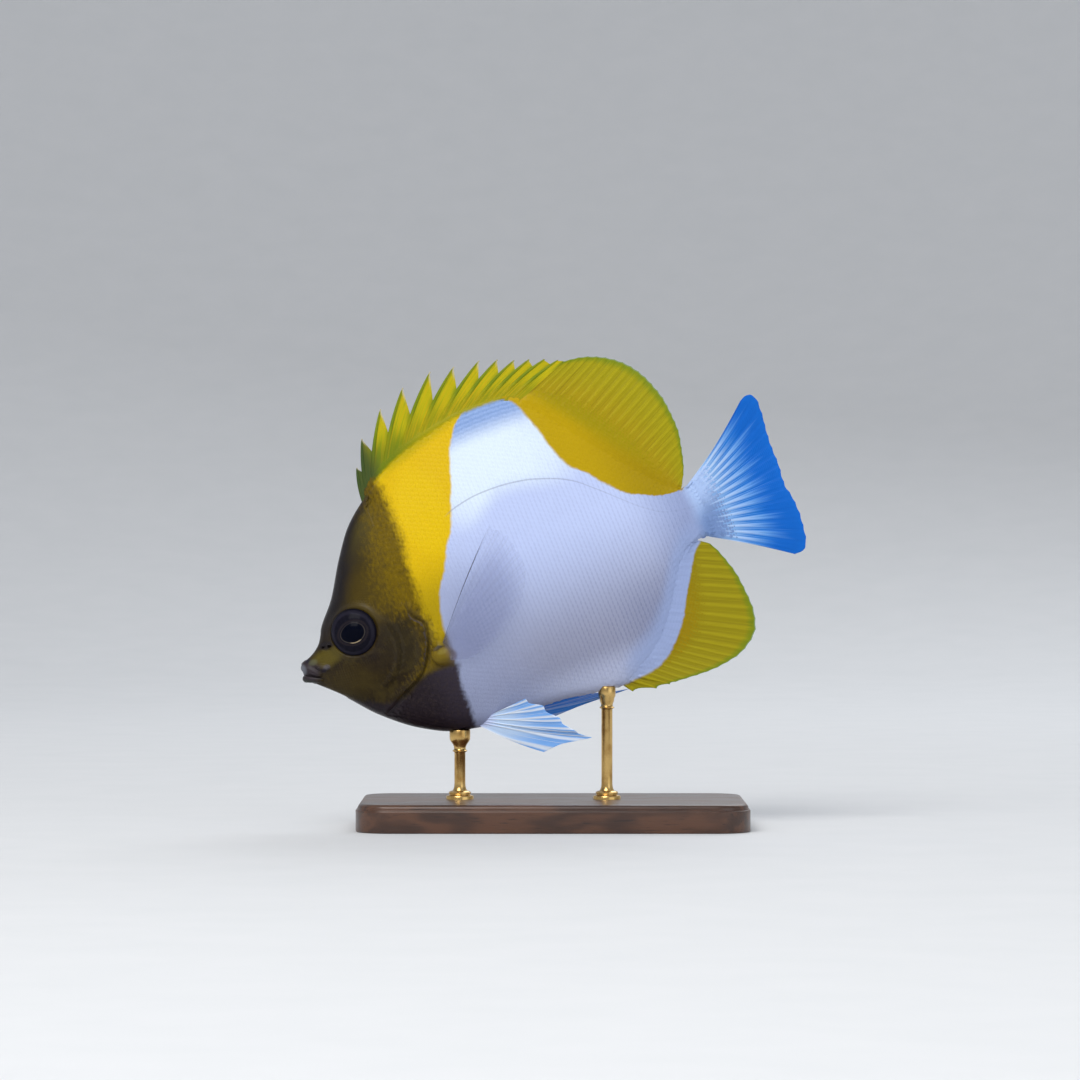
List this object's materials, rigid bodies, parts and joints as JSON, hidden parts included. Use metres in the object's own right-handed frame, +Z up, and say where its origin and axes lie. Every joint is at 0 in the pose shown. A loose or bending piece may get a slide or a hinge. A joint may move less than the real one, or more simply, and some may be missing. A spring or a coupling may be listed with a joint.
{
  "type": "pyramid butterflyfish",
  "caption": "Life-size still model of a pyramid butterflyfish swimming nose down, held by two short rods on a flat display base.",
  "frame": {"origin": "centre of the underside of the display base, which is also the bottom centre of the whole model", "axes": "+X runs level from the fish's snout to its tail, +Y to the fish's right side, +Z up; the fish points 22 degrees nose down"},
  "size_m": [0.1449, 0.064, 0.1357],
  "materials": {
    "head": "moist scaled skin, olive brown",
    "body": "moist scaled skin, bluish white with yellow bands",
    "yellow_fins": "satin rayed membrane, olive gold",
    "tail_fin": "satin rayed membrane, white running out to blue",
    "clear_fins": "thin clear rayed membrane",
    "pelvic_fins": "satin rayed membrane, white rays on blue",
    "eyes": "polished, blue black",
    "base": "dark stained, satin lacquer",
    "rods": "polished"
  },
  "bodies": {
    "root": {"head": "head", "torso": "body", "tail_stem": "body", "dorsal_fin_spiny": "yellow_fins", "dorsal_fin_soft": "yellow_fins", "anal_fin": "yellow_fins", "caudal_fin": "tail_fin", "pectoral_fin_left": "clear_fins", "pectoral_fin_right": "clear_fins", "pelvic_fin_left": "pelvic_fins", "pelvic_fin_right": "pelvic_fins", "eye_left": "eyes", "eye_right": "eyes", "stand_base": "base", "stand_rod_front": "rods", "stand_rod_rear": "rods"}
  },
  "joints": []
}
